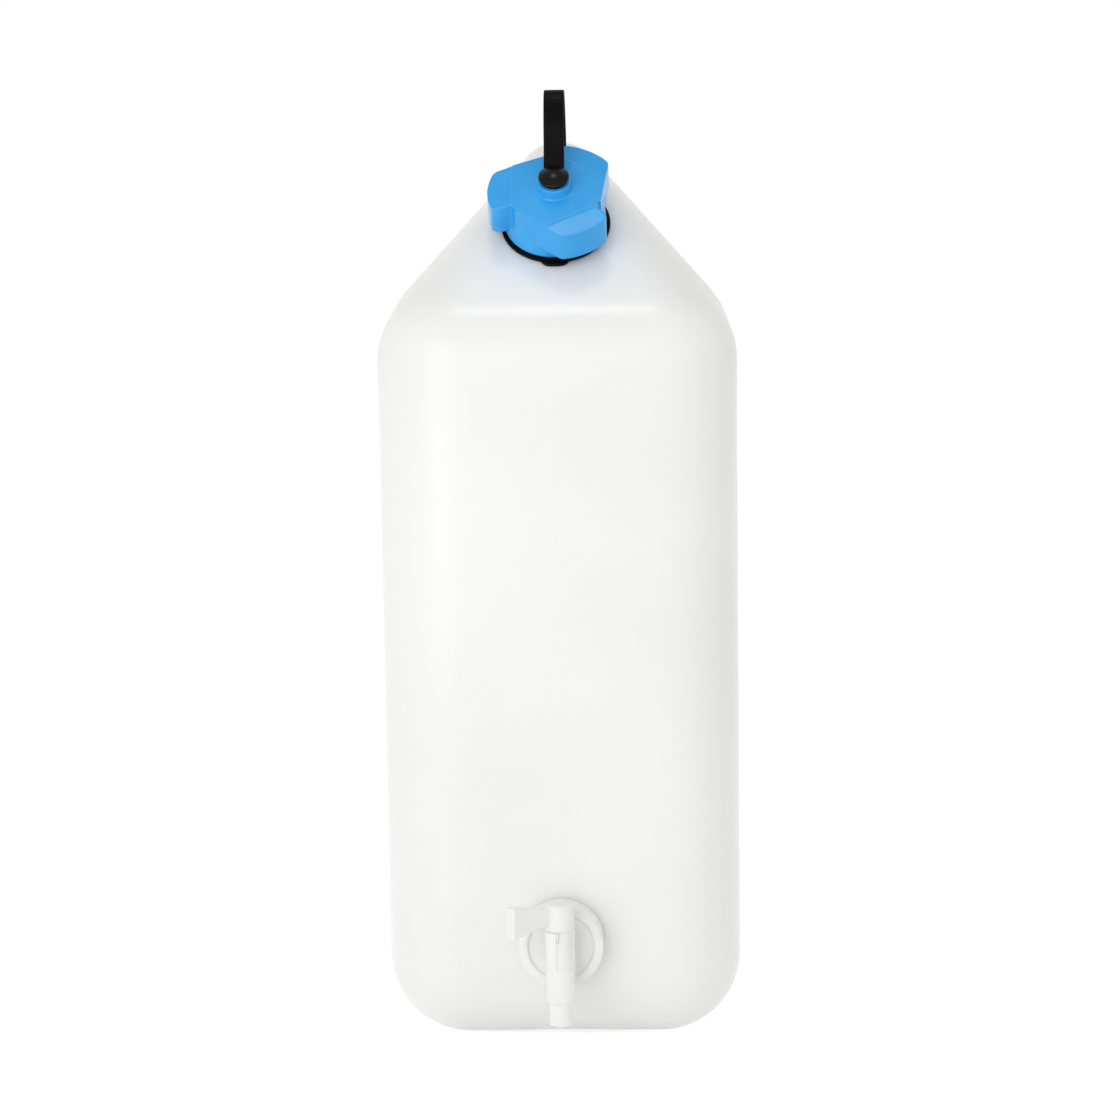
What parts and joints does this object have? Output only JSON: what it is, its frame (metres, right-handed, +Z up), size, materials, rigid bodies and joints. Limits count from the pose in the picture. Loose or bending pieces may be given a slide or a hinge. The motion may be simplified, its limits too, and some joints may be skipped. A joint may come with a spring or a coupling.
{
  "type": "water container with tap",
  "caption": "Upright blown water container with a moulded carrying handle, a lobed screw cap on a leash and a quarter-turn tap at the foot.",
  "frame": {"origin": "under the middle of the part's box, on the surface that it stands on", "axes": "+Z up; -Y towards the front face with the tap and the cap; X across the narrow width, +X on the right seen from the front"},
  "size_m": [0.175, 0.3816, 0.4635],
  "materials": {
    "natural_polyethylene": "blow-moulded natural polyethylene, satin",
    "blue_polypropylene": "moulded, satin",
    "white_foam": "foamed sheet, matt",
    "black_leash": "soft moulded, satin",
    "black_button": "moulded, satin",
    "white_polypropylene": "moulded, satin",
    "white_lever": "moulded, satin",
    "grey_rubber": "matt"
  },
  "bodies": {
    "container": {"container_body": "natural_polyethylene", "leash_ring": "black_leash", "tap_nut": "white_polypropylene", "tap_gasket": "grey_rubber", "tap_body": "white_polypropylene"},
    "leash": {"leash_button": "black_button", "leash_strap": "black_leash"},
    "screw_cap": {"cap": "blue_polypropylene", "cap_seal": "white_foam"},
    "lever": {"tap_lever": "white_lever"}
  },
  "joints": [
    {"name": "leash_lift", "type": "slide", "parent": "container", "child": "leash", "axis": [0, -0.6947, 0.7193], "range_m": [0, 0.0101]},
    {"name": "cap_turn", "type": "hinge", "parent": "leash", "child": "screw_cap", "pos_m": [0, -0.08899, 0.39848], "axis": [0, -0.6947, 0.7193], "range_deg": [0, 720]},
    {"name": "tap_turn", "type": "hinge", "parent": "container", "child": "lever", "pos_m": [0, -0.17019, 0.056], "axis": [0, 0, 1], "range_deg": [0, 90]}
  ],
  "couplings": [
    {"joint": "leash_lift", "follows": "cap_turn", "m_per_rad": 0.00079577}
  ]
}
